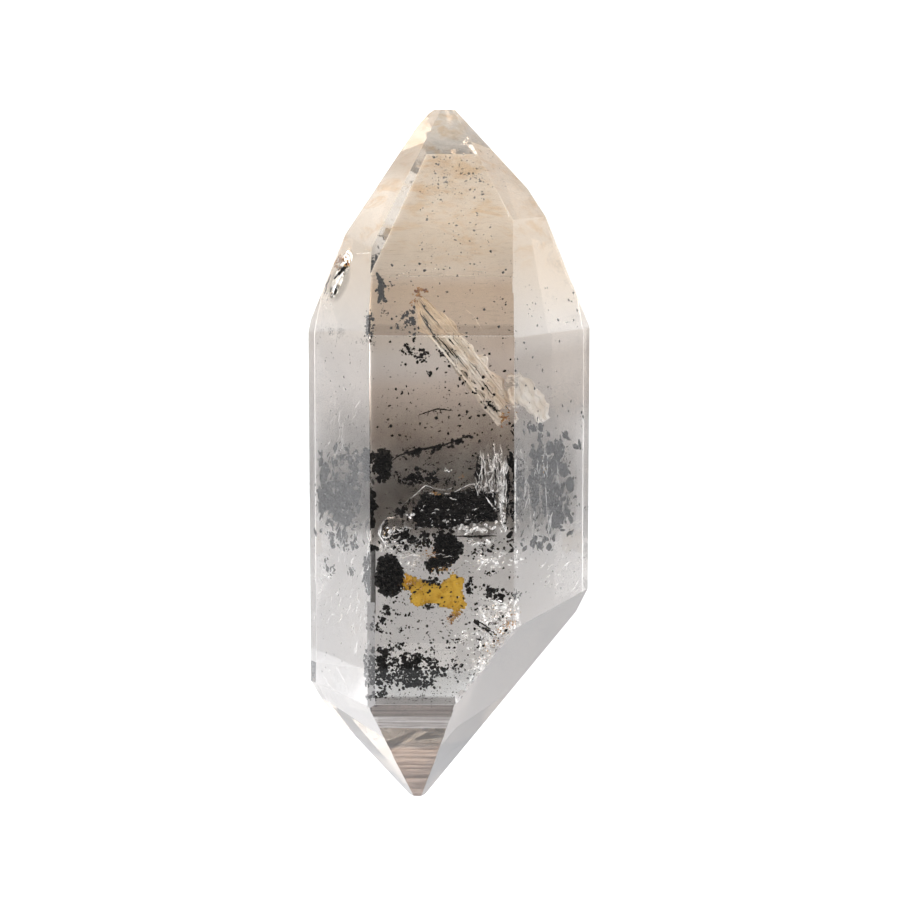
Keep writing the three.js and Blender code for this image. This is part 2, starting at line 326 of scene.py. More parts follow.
class Heap:
    """Gathers many small closed forms that become one piece."""

    def __init__(self, seed):
        self.rng = np.random.default_rng(seed)
        self.points = []
        self.faces = []
        self.count = 0

    def add(self, points, faces):
        """Copies of one form, with a row of corners for each copy."""
        copies, corners = points.shape[:2]
        first = self.count + corners * np.arange(copies)[:, None, None]
        self.points.append(points.reshape(-1, 3))
        self.faces += (first + faces[None]).reshape(-1, faces.shape[-1]).tolist()
        self.count += copies * corners

    def shards(self, centers, sizes, form=GRAIN, flat=1.0, jitter=0.25):
        """Rough grains of the given half sizes, flattened to flakes where flat is under 1."""
        centers, sizes = np.asarray(centers), np.asarray(sizes)
        kept = in_quartz(centers, 1.3 * sizes)
        centers, sizes = centers[kept], sizes[kept]
        rng, count = self.rng, len(centers)
        points = form[0][None] * (1 + jitter * rng.normal(size=(count, len(form[0]), 1)))
        narrow = rng.uniform(0.35, 1, count)
        thin = flat * rng.uniform(0.5, 1, count)
        stretch = np.stack([np.ones(count), narrow, thin], axis=1)
        points = points * stretch[:, None, :] * sizes[:, None, None]
        points = points @ turns(rng, count).transpose(0, 2, 1)
        self.add(points + centers[:, None, :], form[1])

    def sizes(self, count, size):
        """Mostly small, a few up to the given half size."""
        return size * self.rng.uniform(0.2, 1, count) ** 3

    def grains(self, centers, sizes, flat=1.0):
        """Rough grains, the larger ones with more corners."""
        large = sizes > LARGE_GRAIN
        self.shards(centers[large], sizes[large], CRUMB, flat)
        self.shards(centers[~large], sizes[~large], GRAIN, flat)

    def cluster(self, x, y, along, across, turn, count, size, depth, thick=0.5, flat=1.0):
        """Patchy grains about a place in the view, in an oval with soft ends turned by some degrees."""
        rng = self.rng
        tries = 5 * count
        u = rng.normal(scale=0.55, size=tries).clip(-1.4, 1.4) * along
        v = rng.normal(scale=0.55, size=tries).clip(-1.4, 1.4) * across
        c, s = math.cos(math.radians(turn)), math.sin(math.radians(turn))
        px, py = x + c * u - s * v, y + s * u + c * v
        patchy = [noise.noise(Vector((1.9 * a, 2.3 * b, 4))) + 0.6 * noise.noise(Vector((6 * a, 6 * b, 1)))
                  for a, b in zip(px, py)]
        kept = np.flatnonzero(np.array(patchy) > -0.05)[:2 * count]
        sizes = self.sizes(len(kept), size)
        deep = np.maximum(depth + thick * rng.normal(scale=0.5, size=len(kept)), sizes + 0.12)
        self.grains(into(px[kept], py[kept], deep), sizes, flat)

    def scatter(self, x, y, wide, high, count, size, depth, flat=1.0):
        """Loose grains all over a box in the view."""
        u, v = self.rng.uniform(-1, 1, size=(2, count))
        sizes = self.sizes(count, size).clip(0.022, None)
        deep = np.maximum(depth * self.rng.uniform(0.2, 1.8, count), sizes + 0.06)
        self.grains(into(x + wide * u, y + high * v, deep), sizes, flat)

    def wisps(self, x, y, wide, high, turn, count, length, depth):
        """Short thin threads in a box in the view, most of them along one direction."""
        for _ in range(count):
            a, b = x + wide * self.rng.uniform(-1, 1), y + high * self.rng.uniform(-1, 1)
            way = math.radians(turn + 9 * self.rng.normal())
            run = length * self.rng.uniform(0.2, 1) / 2
            dx, dy = run * math.cos(way), run * math.sin(way)
            deep = depth * self.rng.uniform(0.4, 1.6)
            radius = WISP_RADIUS * self.rng.uniform(0.5, 1.4)
            self.line([a - dx, b - dy, a + dx, b + dy], deep, radius, 0.12, 9)

    def tube(self, path, radii, sides=6, flat=1.0):
        """A closed rod along a path, with a radius at each of its points."""
        path = np.asarray(path, float)
        radii = np.broadcast_to(radii, len(path))
        ahead = np.gradient(path, axis=0)
        ahead /= np.linalg.norm(ahead, axis=1, keepdims=True)
        across = np.cross(ahead, [0, 0, 1.0])
        across /= np.linalg.norm(across, axis=1, keepdims=True)
        above = np.cross(across, ahead)
        angle = (np.arange(sides) * 2 * math.pi / sides)[None, :, None]
        ring = np.cos(angle) * across[:, None] + flat * np.sin(angle) * above[:, None]
        points = path[:, None] + ring * radii[:, None, None]
        steps = len(path)
        faces = []
        for i in range(steps - 1):
            for j in range(sides):
                k = (j + 1) % sides
                a, b, c, d = i * sides + j, i * sides + k, (i + 1) * sides + k, (i + 1) * sides + j
                faces += [[a, b, c], [a, c, d]]
        ends = np.stack([path[0], path[-1]])
        low, high = steps * sides, steps * sides + 1
        for j in range(sides):
            k = (j + 1) % sides
            faces += [[low, k, j], [high, (steps - 1) * sides + j, (steps - 1) * sides + k]]
        self.add(np.concatenate([points.reshape(-1, 3), ends])[None], np.array(faces))

    def line(self, places, depth, radius, wander=0.0, steps=24, flat=1.0):
        """A thin rod through places in the view, x and y in turn, tapering to its ends."""
        places = np.reshape(places, (-1, 2))
        at = np.linspace(0, len(places) - 1, steps)
        x = np.interp(at, range(len(places)), places[:, 0])
        y = np.interp(at, range(len(places)), places[:, 1])
        for axis in (x, y):
            axis += wander * np.cumsum(self.rng.normal(size=steps)) / math.sqrt(steps)
        swell = np.sin(np.linspace(0.15, math.pi - 0.15, steps)) ** 0.6
        self.tube(into(x, y, depth), radius * swell * self.rng.uniform(0.75, 1.25, steps), flat=flat)

    def piece(self, name, material, slot, *nodes, smooth=False):
        mesh = bpy.data.meshes.new(name)
        points = np.concatenate(self.points)
        mesh.from_pydata((points * MM).tolist(), [], self.faces)
        if smooth:
            mesh.shade_smooth()
        mesh.materials.append(material)
        piece = new_object(name, mesh)
        finish_piece(piece, slot, *nodes)


def finish_piece(piece, slot, *nodes):
    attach(piece, "root")
    if nodes:
        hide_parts(*nodes)


def solid_of(node):
    """A search tree of a node of the frame, and two corners of its box, in millimetres."""
    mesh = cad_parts[node].data
    tree = BVHTree.FromPolygons([v.co / MM for v in mesh.vertices], [p.vertices[:] for p in mesh.polygons])
    low, high = (np.array(corner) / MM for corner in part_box(node))
    return tree, low, high


def inside_of(node, rng, count):
    """Random points inside a node of the frame."""
    tree, low, high = solid_of(node)
    found = []
    while len(found) < count:
        point = Vector(rng.uniform(low, high))
        near, normal, _, _ = tree.find_nearest(point)
        if (point - near).dot(normal) < 0:
            found.append(point)
    return np.array(found)


def slab_heights(tree, xs, ys, wiggle):
    """Top and bottom of a solid over a grid, with its rim made ragged. NaN where it isn't."""
    low, high = np.full((len(xs), len(ys)), np.nan), np.full((len(xs), len(ys)), np.nan)
    for i, x in enumerate(xs):
        for j, y in enumerate(ys):
            coarse = noise.noise_vector(Vector((x, y, 3)) * 2.5)
            ragged = coarse + noise.noise_vector(Vector((x, y, 9)) * 6) * 0.6
            px, py = x + wiggle * ragged.x, y + wiggle * ragged.y
            over = tree.ray_cast(Vector((px, py, 60)), Vector((0, 0, -1)))[0]
            under = tree.ray_cast(Vector((px, py, -60)), Vector((0, 0, 1)))[0]
            if over is not None and under is not None:
                low[i, j], high[i, j] = under.z, over.z
    return low, high


def slab(heap, node, cell, wiggle, relief, grain):
    """A slab in a node's place: the node's own thickness with a ragged rim and a rough face."""
    tree, (x0, y0, _), (x1, y1, _) = solid_of(node)
    xs, ys = np.arange(x0 - 0.2, x1 + 0.2, cell), np.arange(y0 - 0.2, y1 + 0.2, cell)
    low, high = slab_heights(tree, xs, ys, wiggle)
    solid = ~np.isnan(low)
    points, index, faces = [], {}, []
    for i in range(len(xs)):
        for j in range(len(ys)):
            if solid[i, j]:
                spot = Vector((xs[i], ys[j], 0))
                rough = relief * (noise.fractal(spot * grain, 0.7, 2.1, 4) - 0.3)
                shake = 0.3 * cell * noise.noise_vector(spot * 9)
                index[i, j] = len(points)
                top = max(high[i, j] + min(rough, 0), low[i, j] + 0.08)
                points.append((xs[i] + shake.x, ys[j] + shake.y, top))
                points.append((xs[i] + shake.x, ys[j] + shake.y, low[i, j]))

    def filled(i, j):
        return all((i + a, j + b) in index for a in (0, 1) for b in (0, 1))

    for i in range(len(xs) - 1):
        for j in range(len(ys) - 1):
            if not filled(i, j):
                continue
            a, b, c, d = index[i, j], index[i + 1, j], index[i + 1, j + 1], index[i, j + 1]
            faces += [[a, b, c], [a, c, d], [c + 1, b + 1, a + 1], [d + 1, c + 1, a + 1]]
            for p, q, m, n in ((a, b, i, j - 1), (b, c, i + 1, j), (c, d, i, j + 1), (d, a, i - 1, j)):
                if not filled(m, n):
                    faces += [[q, p, p + 1], [q, p + 1, q + 1]]
    heap.add(np.array(points)[None], np.array(faces))


def sheet_faces(rows, columns):
    """The faces of a closed sheet: one grid of corners, then another behind it, joined all round."""
    count, faces = rows * columns, []
    for i in range(rows - 1):
        for j in range(columns - 1):
            a, b = i * columns + j, i * columns + j + 1
            c, d = b + columns, a + columns
            faces += [[a, b, c], [a, c, d], [count + a, count + c, count + b], [count + a, count + d, count + c]]
    border = list(range(columns)) + [i * columns + columns - 1 for i in range(1, rows)]
    border += [(rows - 1) * columns + j for j in range(columns - 2, -1, -1)]
    border += [i * columns for i in range(rows - 2, 0, -1)]
    for a, b in zip(border, border[1:] + border[:1]):
        faces += [[b, a, count + a], [b, count + a, count + b]]
    return np.array(faces)


# Materials

class Shade:
    """Short calls for the nodes of a material or of the sky. Places in materials are millimetres."""

    def __init__(self, owner, coordinates="Object", scale=1 / MM):
        owner.use_nodes = True
        self.tree = owner.node_tree
        place = self.tree.nodes.new("ShaderNodeTexCoord").outputs[coordinates]
        self.place = self.vector("SCALE", place, scale=scale)

    def put(self, socket, value):
        if isinstance(value, bpy.types.NodeSocket):
            self.tree.links.new(value, socket)
        else:
            socket.default_value = value

    def node(self, kind, **values):
        made = self.tree.nodes.new(kind)
        for name, value in values.items():
            self.put(made.inputs[name], value)
        return made

    def vector(self, operation, a, b=None, scale=None):
        made = self.tree.nodes.new("ShaderNodeVectorMath")
        made.operation = operation
        self.put(made.inputs[0], a)
        if b is not None:
            self.put(made.inputs[1], b)
        if scale is not None:
            self.put(made.inputs["Scale"], scale)
        return made.outputs["Value" if operation == "DOT_PRODUCT" else "Vector"]

    def math(self, operation, a, b):
        made = self.tree.nodes.new("ShaderNodeMath")
        made.operation = operation
        self.put(made.inputs[0], a)
        self.put(made.inputs[1], b)
        return made.outputs[0]

    def both(self, a, b):
        return self.math("MULTIPLY", a, b)

    def between(self, value, low, high):
        """0 below low, 1 above high."""
        made = self.tree.nodes.new("ShaderNodeMapRange")
        made.interpolation_type = "SMOOTHSTEP"
        self.put(made.inputs["Value"], value)
        made.inputs["From Min"].default_value = low
        made.inputs["From Max"].default_value = high
        return made.outputs["Result"]

    def band(self, value, start, end, soft):
        rise = self.between(value, start - soft, start + soft)
        fall = self.between(value, end + soft, end - soft)
        return self.both(rise, fall)

    def noise(self, scale, stretch=(1, 1, 1), detail=4.0, roughness=0.55, distortion=0.0, offset=0.0):
        """Noise with so many spots a millimetre."""
        place = self.vector("MULTIPLY", self.place, stretch)
        place = self.vector("ADD", place, (offset, offset, offset))
        made = self.node("ShaderNodeTexNoise", Vector=place, Scale=scale, Detail=detail)
        made.inputs["Roughness"].default_value = roughness
        made.inputs["Distortion"].default_value = distortion
        return made.outputs["Fac"]

    def mix(self, factor, a, b, blend="MIX"):
        made = self.tree.nodes.new("ShaderNodeMix")
        made.data_type = "RGBA"
        made.blend_type = blend
        self.put(made.inputs["Factor"], factor)
        self.put(made.inputs[6], a if isinstance(a, bpy.types.NodeSocket) else (*a, 1))
        self.put(made.inputs[7], b if isinstance(b, bpy.types.NodeSocket) else (*b, 1))
        return made.outputs[2]

    def facing(self, normal, width=0.004):
        """1 on the outside of the faces that look along a direction."""
        geometry = self.tree.nodes.new("ShaderNodeNewGeometry")
        match = self.vector("DOT_PRODUCT", geometry.outputs["True Normal"], tuple(normal))
        outside = self.math("SUBTRACT", 1.0, geometry.outputs["Backfacing"])
        return self.both(self.between(match, 1 - 2 * width, 1 - width), outside)

    def axes(self):
        return tuple(self.node("ShaderNodeSeparateXYZ", Vector=self.place).outputs)

    def set(self, **values):
        for name, value in values.items():
            self.put(self.tree.nodes["Principled BSDF"].inputs[name.replace("_", " ")], value)

    def bump(self, height, strength, distance):
        made = self.node("ShaderNodeBump", Height=height)
        made.inputs["Strength"].default_value = strength
        made.inputs["Distance"].default_value = distance * MM
        self.set(Normal=made.outputs["Normal"])

    def absorb(self, color, density):
        made = self.tree.nodes.new("ShaderNodeVolumeAbsorption")
        made.inputs["Color"].default_value = (*color, 1)
        made.inputs["Density"].default_value = density
        self.put(self.tree.nodes["Material Output"].inputs["Volume"], made.outputs["Volume"])


def quartz_material():
    material = bpy.data.materials.new("quartz")
    shade = Shade(material)
    both, between, band = shade.both, shade.between, shade.band
    x, y, _ = shade.axes()
    shown = (TOP_FRONT, TOP_RIGHT, TOP_LEFT, LOW_FRONT, LOW_RIGHT, LOW_LEFT, RIGHT_SHOULDER, LEFT_SHOULDER)
    ends = [shade.facing(plane_of(*END_FACES[row])[0]) for row in shown]
    front_end, right_end, left_end, lower_front, lower_right, lower_left, right_steep, left_steep = ends
    front = shade.facing((0, 0, 1))
    right_side, left_side = shade.facing(FACES[RIGHT_SIDE][0]), shade.facing(FACES[LEFT_SIDE][0])
    bevel_turn = math.radians(EDGE_BEVEL[0])
    bevel = shade.facing((math.sin(bevel_turn), 0, math.cos(bevel_turn)))
    front_left_edge = both(front, both(between(x, -6.44, -6.48), band(y, -12.6, -6.4, 0.3)))
    from_notch = shade.vector("SUBTRACT", shade.place, NOTCH_DARKENING_MIDDLE)
    notch = between(shade.vector("DOT_PRODUCT", from_notch, from_notch), 5.0, 2.0)

    streaks = shade.noise(0.35, (1, 2.4, 1), 6, 0.65, 0.6)
    fine = shade.noise(1.6, (0.6, 3.5, 1), 5, 0.7, 0.3, 7)
    rows = shade.noise(1.1, (0.12, 2.6, 1), 3, 0.6, 0.15, 3)
    lines = shade.noise(2.4, (0.04, 3.0, 0.3), 2, 0.6, 0.1, 9)

    # Partly iron stain, partly painted shade: where each tint lies, how much of it shows, and its tone.
    # Heights are along the crystal. The ochre streaks and the fine mottling are stain; the warm band round
    # the upper part, the tone of each whole face and the bands on the upper end faces, the front and the sides
    # are painted shade.
    stain_and_painted_shade = [
        # Painted shade: a warm band round the upper part.
        (between(y, 9.0, 17.0), 0.85, (0.96, 0.85, 0.70)),
        # Iron stain: ochre streaks at the upper end.
        (both(between(streaks, 0.48, 0.66), between(y, 17.0, 21.0)), 0.7, (0.84, 0.62, 0.36)),
        # Painted shade on the upper front end face, except the fine mottling, which is stain.
        (both(front_end, between(y, 21.0, 17.0)), 0.6, (0.80, 0.70, 0.60)),
        (both(front_end, between(y, 18.6, 16.6)), 0.9, (0.66, 0.47, 0.30)),
        (both(front_end, between(fine, 0.5, 0.72)), 0.5, (0.5, 0.42, 0.34)),
        (both(front_end, band(y, 12.0, 13.7, 0.15)), 0.9, (0.55, 0.52, 0.50)),
        # Painted shade: bands across the front face.
        (both(front, band(y, 2.0, 9.5, 2.0)), 0.9, (0.63, 0.47, 0.36)),
        (both(front, band(y, 10.0, 14.0, 2.0)), 0.6, (0.76, 0.64, 0.55)),
        (both(front, both(between(x, -3.0, 5.0), band(y, 8.0, 14.0, 2.0))), 0.8, (0.76, 0.64, 0.56)),
        # Painted shade: the upper right end face, a band on the upper left end face, and bands on the two sides.
        (right_end, 1.0, (0.72, 0.67, 0.60)),
        (left_end, between(y, 25.5, 27.5), (0.58, 0.52, 0.44)),
        (both(right_side, band(y, 4.0, 12.0, 2.0)), 0.9, (0.33, 0.26, 0.20)),
        (both(left_side, band(y, 4.0, 12.0, 2.0)), 0.8, (0.76, 0.71, 0.68)),
    ]
    # Mostly painted shade: the tone of each lower face, the lowest strip of the front face, and the dark
    # bevel and front left edge. The growth lines and the bands about the ledges on the lower front face are
    # partly growth banding and partly painted shade of the steps. The surface is also darker about the notch.
    painted_shade_and_growth_lines = [
        # Painted shade: the lower front face darker as a whole.
        (lower_front, 1.0, (0.72, 0.68, 0.68)),
        # Growth lines and bands about the ledges, partly painted shade of the steps.
        (both(lower_front, between(rows, 0.42, 0.6)), 0.9, (0.42, 0.37, 0.34)),
        (both(lower_front, between(lines, 0.50, 0.56)), 0.75, (0.36, 0.33, 0.31)),
        (both(lower_front, band(y, -22.5, -20.0, 0.12)), 1.0, (0.155, 0.112, 0.087)),
        (both(lower_front, band(y, -25.5, -23.9, 0.1)), 1.0, (0.62, 0.64, 0.60)),
        (both(lower_front, band(y, -26.2, -25.5, 0.1)), 0.8, (0.42, 0.40, 0.38)),
        (both(lower_front, between(y, -26.1, -26.5)), 0.9, (1.0, 0.78, 0.62)),
        # Painted shade: the lower right end face nearly black, and the bevel and front left edge dark.
        (lower_right, 1.0, (0.065, 0.05, 0.04)),
        (bevel, 1.0, (0.32, 0.32, 0.34)),
        (front_left_edge, 1.0, (0.03, 0.03, 0.03)),
        # Darker about the notch.
        (notch, 0.9, (0.30, 0.29, 0.25)),
        # Painted shade: the lower left end face, and the lowest strip of the front face.
        (lower_left, 1.0, (0.82, 0.81, 0.80)),
        (lower_left, between(y, -26.0, -28.0), (0.60, 0.59, 0.58)),
        (both(front, between(y, -17.6, -17.8)), 0.9, (0.72, 0.76, 0.77)),
        (both(front, between(y, -20.1, -20.4)), 1.0, (0.27, 0.25, 0.24)),
    ]
    color = (1.0, 1.0, 1.0)
    for share, amount, tone in stain_and_painted_shade + painted_shade_and_growth_lines:
        color = shade.mix(both(share, amount), color, tone, "MULTIPLY")

    # A milky film with fine mottling, heaviest at the tips: where it lies and its share of the surface.
    film = 0.0
    for share, amount in [
        (between(y, 19.5, 24.0), FILM),
        (between(y, 27.5, 30.5), TIP_FILM),
        (between(y, -24.0, -31.0), TIP_FILM),
        (left_end, 0.08),
        (right_steep, 0.06),
        (left_steep, 0.03),
        (both(left_side, between(y, -3.0, -8.0)), 0.03),
        (both(left_side, between(y, -17.8, -18.2)), 0.10),
        (both(lower_front, between(y, -25.9, -26.5)), 0.14),
        (both(front, between(y, -17.5, -17.9)), 0.02),
    ]:
        film = shade.math("ADD", film, both(share, amount))
    mottle = shade.math("ADD", both(fine, 1.8), 0.1)
    clear = shade.math("SUBTRACT", 1.0, both(film, mottle))
    shade.set(Base_Color=color, Roughness=0.0, Transmission_Weight=clear, IOR=QUARTZ_IOR)
    shade.absorb((0.5, 0.42, 0.34), 16.0)
    return material


def bitumen_material():
    material = bpy.data.materials.new("bitumen")
    shade = Shade(material)
    tone = shade.noise(2.2, (1, 2.5, 1), 5, 0.65)
    color = shade.mix(shade.between(tone, 0.38, 0.72), (0.003, 0.0028, 0.0026), (0.022, 0.019, 0.016))
    fleck = shade.between(shade.noise(6, (0.5, 2.8, 1), 3, 0.6, 0, 5), 0.62, 0.72)
    color = shade.mix(shade.both(fleck, 0.35), color, (0.16, 0.15, 0.14))
    shade.set(Base_Color=color, Roughness=shade.between(tone, 0.2, 1.0), IOR=1.16)
    shade.bump(shade.noise(5, detail=4), 0.5, 0.05)
    return material


# Mottled materials: the IOR against the quartz, the noise's spots a millimetre, detail and roughness, its limits
# between which the tone changes, the two tones, the surface's roughness, and its transmission or the noise's
# limits for that.
MOTTLED = {
    "fracture_frost_and_rim_highlights": (
        0.66, 1.2, 5, 0.55, (0.35, 0.7), ((1.0, 0.99, 0.98), (0.74, 0.71, 0.68)), 0.1, (0.34, 0.78),
    ),
    "growth_tube": (1.35, 0.8, 5, 0.6, (0.35, 0.68), ((1.0, 0.98, 0.93), (0.86, 0.77, 0.65)), 0.2, 0.12),
    "rust": (1.5, 2.5, 4, 0.55, (0.35, 0.65), ((0.22, 0.09, 0.03), (0.55, 0.34, 0.14)), 0.6, 0.0),
    "oil": (0.96, 1.3, 5, 0.7, (0.42, 0.72), ((0.93, 0.62, 0.10), (0.55, 0.30, 0.04)), 0.15, 0.55),
    "fluid": (0.87, 1.5, 4, 0.55, (0.3, 0.7), ((0.97, 0.97, 0.97), (0.9118, 0.9118, 0.9118)), 0.02, 1.0),
    "gas": (0.75, 1.5, 4, 0.55, (0.3, 0.7), ((1.0, 1.0, 1.0), (0.94, 0.94, 0.94)), 0.02, 1.0),
}


def mottled_material(name):
    ior, spots, detail, rough, limits, tones, roughness, transmission = MOTTLED[name]
    material = bpy.data.materials.new(name)
    shade = Shade(material)
    tone = shade.noise(spots, detail=detail, roughness=rough)
    if isinstance(transmission, tuple):
        transmission = shade.between(tone, *transmission)
    color = shade.mix(shade.between(tone, *limits), *tones)
    shade.set(Base_Color=color, Roughness=roughness, Transmission_Weight=transmission, IOR=ior)
    if name == "oil":
        shade.bump(shade.noise(2.5, detail=3), 0.4, 0.05)
    return material


def smoke_material():
    material = bpy.data.materials.new("smoke")
    shade = Shade(material)
    shade.set(Base_Color=(1, 1, 1, 1), Roughness=0.0, Transmission_Weight=1.0, IOR=1.0)
    shade.absorb((0.24, 0.19, 0.14), 132.0)
    return material


# What the quartz holds

# Black crumbs in the view: x, y, half length, half width, turn, count, largest half size, depth.
CRUMB_CLUSTERS = [
    (-3.9, 11.8, 0.9, 0.8, -50, 60, 0.24, 1.6),
    (-4.6, 10.9, 0.7, 0.5, 0, 20, 0.16, 1.6),
    (-3.4, 8.9, 1.4, 0.45, -8, 60, 0.22, 1.7),
    (-2.6, 8.3, 0.5, 0.4, 20, 20, 0.2, 1.9),
    (-1.9, 6.9, 0.35, 0.25, -30, 8, 0.3, 1.9),
    (-1.1, 5.7, 0.25, 0.25, 0, 4, 0.18, 1.9),
    (-0.6, 8.5, 0.8, 0.35, -50, 30, 0.18, 2.1),
    (-6.2, 14.7, 0.3, 1.3, 5, 60, 0.24, 0.6),
    (-5.9, 12.6, 0.5, 0.5, 0, 30, 0.12, 0.8),
    (-5.3, 14.8, 0.35, 0.25, 0, 12, 0.16, 1.0),
    (-7.3, 11.2, 0.2, 1.2, 0, 30, 0.2, 1.0),
    (-10.4, 10.6, 1.2, 0.6, 0, 220, 0.07, 1.5),
    (-8.1, 9.6, 0.6, 0.5, 0, 120, 0.07, 1.5),
    (-4.9, -0.6, 1.3, 0.2, 10, 40, 0.16, 2.6),
    (-3.3, -0.1, 1.0, 0.3, 5, 90, 0.2, 3.0),
    (-1.1, 0.2, 1.2, 0.22, 22, 80, 0.2, 3.0),
    (0.9, 0.9, 0.8, 0.25, 28, 70, 0.2, 3.0),
    (-1.2, 3.4, 1.4, 0.3, 8, 40, 0.12, 2.6),
    (-2.9, -2.5, 1.6, 0.6, 0, 160, 0.24, 3.2),
    (-6.1, -1.5, 0.6, 1.1, 5, 120, 0.26, 2.4),
    (2.6, -2.0, 0.25, 1.4, 0, 80, 0.2, 2.9),
    (5.2, -3.2, 0.12, 3.0, 0, 160, 0.16, 2.4),
    (-4.3, -5.6, 0.7, 0.6, 20, 90, 0.24, 2.3),
    (-3.2, -8.0, 2.1, 0.7, 0, 420, 0.22, 1.7),
    (-4.4, -8.9, 1.6, 0.25, 0, 50, 0.16, 2.6),
    (-0.4, -7.3, 0.7, 0.6, 0, 60, 0.22, 2.6),
    (-1.1, -10.3, 0.9, 0.5, 0, 70, 0.24, 2.2),
    (-1.6, -11.8, 0.9, 0.35, -10, 60, 0.22, 2.2),
    (3.2, -8.9, 1.3, 0.45, 20, 80, 0.18, 2.4),
    (3.6, -11.1, 0.5, 0.2, 0, 20, 0.18, 2.2),
    (1.9, -11.6, 0.35, 0.2, 0, 12, 0.2, 2.0),
    (1.7, -12.4, 0.5, 0.7, 0, 60, 0.2, 2.2),
    (4.1, -13.0, 1.2, 0.5, -8, 150, 0.24, 2.2),
    (-1.9, -14.0, 0.6, 0.35, 0, 40, 0.2, 2.2),
    (-3.6, -12.6, 0.9, 0.5, 0, 20, 0.14, 2.1),
    (-5.9, -14.7, 0.35, 0.9, -20, 60, 0.26, 2.2),
    (-6.3, -15.9, 0.4, 0.3, 0, 24, 0.2, 2.2),
    (-3.6, -14.9, 0.14, 0.14, 0, 6, 0.16, 2.2),
    (-2.7, -15.4, 0.25, 0.14, 0, 8, 0.16, 2.2),
    (-4.5, -16.2, 0.2, 0.3, 0, 10, 0.16, 2.2),
    (-4.8, -17.7, 0.9, 0.45, 10, 60, 0.18, 2.2),
    (-1.6, -18.0, 0.3, 0.15, 0, 10, 0.18, 2.2),
    (0.6, -17.2, 1.1, 0.25, -5, 30, 0.18, 2.2),
    (2.7, -17.0, 0.4, 0.2, 10, 20, 0.18, 2.2),
    (3.0, -15.9, 1.3, 0.16, -33, 90, 0.2, 1.6),
    (4.2, -15.6, 0.5, 0.25, 10, 30, 0.2, 1.4),
    (-6.2, -19.0, 0.6, 1.0, 0, 110, 0.3, 2.2),
    (-6.3, -20.8, 0.5, 0.6, 0, 50, 0.24, 2.2),
    (-6.4, -22.0, 0.8, 0.35, 10, 50, 0.2, 2.0),
    (-3.5, -19.8, 0.7, 1.3, 0, 170, 0.28, 2.6),
    (-2.9, -21.1, 1.9, 0.35, 0, 170, 0.22, 2.6),
    (-0.9, -19.9, 0.5, 0.45, 0, 60, 0.24, 2.2),
    (-1.9, -18.9, 1.2, 0.5, 0, 50, 0.2, 2.4),
    (0.7, -19.6, 0.7, 0.9, 30, 50, 0.16, 2.0),
    (-3.2, -22.3, 2.8, 0.3, 0, 60, 0.12, 2.0),
]

# Loose specks in the view: x and y of the middle, half sizes of the area, count, largest half size, depth.
SPECK_AREAS = [
    (0.0, 14.5, 5.6, 2.2, 150, 0.17, 0.5),
    (0.5, 21.0, 3.4, 4.4, 300, 0.17, 0.3),
    (0.6, 25.5, 2.2, 1.6, 240, 0.15, 0.15),
    (0.0, 8.5, 5.6, 3.6, 320, 0.20, 1.4),
    (-1.0, 2.5, 5.6, 3.0, 340, 0.18, 2.0),
    (0.0, -8.0, 5.8, 3.6, 520, 0.17, 2.0),
    (-0.5, -16.5, 6.0, 4.4, 900, 0.17, 1.8),
    (-0.8, -22.0, 5.2, 1.2, 260, 0.10, 1.6),
    (9.3, 5.0, 3.0, 10.0, 260, 0.19, 1.3),
    (9.3, -9.0, 3.0, 5.0, 170, 0.15, 2.0),
    (-9.9, 0.0, 2.4, 10.0, 200, 0.18, 1.6),
    (-9.9, -14.0, 2.4, 6.0, 130, 0.13, 2.0),
    (4.0, 25.5, 1.4, 2.0, 120, 0.12, 0.3),
    (-0.3, -10.0, 6.2, 12.0, 1500, 0.07, 1.6),
    (0.0, 10.0, 6.0, 8.0, 420, 0.07, 0.8),
    (-10.0, -3.0, 2.8, 14.0, 420, 0.07, 1.4),
    (9.9, -3.0, 3.2, 12.0, 420, 0.07, 1.4),
    (6.0, -19.0, 3.5, 3.0, 60, 0.08, 0.4),
]

# White flakes scattered in the same way.
WHITE_AREAS = [
    (-0.3, -12.0, 6.0, 9.0, 420, 0.09, 1.5),
    (0.9, -5.3, 4.0, 1.9, 260, 0.06, 1.2),
    (-10.0, -6.0, 2.6, 12.0, 260, 0.11, 0.9),
    (9.9, -4.0, 3.0, 11.0, 260, 0.11, 0.9),
    (0.0, 15.0, 5.0, 1.6, 30, 0.10, 0.4),
    (2.2, -17.6, 3.6, 3.6, 160, 0.12, 0.8),
]

# White threads: x and y of the middle, half sizes of the area, turn, count, length, depth.
WISP_AREAS = [
    (-10.2, 3.0, 1.8, 3.5, 80, 26, 2.2, 0.8),
    (-10.0, -11.5, 2.4, 4.0, 75, 40, 1.2, 0.7),
    (-8.2, -12.0, 0.8, 6.0, 85, 30, 1.4, 0.5),
    (-10.8, -21.0, 0.7, 2.0, -60, 14, 1.6, 0.4),
    (8.2, -4.0, 2.0, 4.0, 88, 34, 2.4, 1.6),
    (9.6, -10.5, 2.2, 2.0, 60, 26, 1.0, 0.8),
    (3.8, -15.5, 1.6, 1.4, -20, 34, 1.3, 1.2),
    (3.6, -1.8, 1.2, 2.2, 90, 80, 1.5, 2.6),
    (4.6, -3.0, 0.6, 1.8, 90, 40, 1.4, 2.4),
    (1.0, -5.3, 3.7, 1.8, 2, 24, 0.4, 1.2),
    (-3.3, -7.6, 2.0, 0.8, 0, 16, 0.6, 1.5),
    (4.8, -4.6, 0.3, 2.6, 90, 30, 1.6, 2.2),
    (0.0, 15.9, 4.6, 0.4, 3, 6, 1.6, 0.3),
    (0.5, -9.5, 4.6, 1.4, 0, 50, 0.8, 2.3),
    (-4.2, -8.4, 1.6, 1.2, 40, 30, 0.8, 2.0),
]

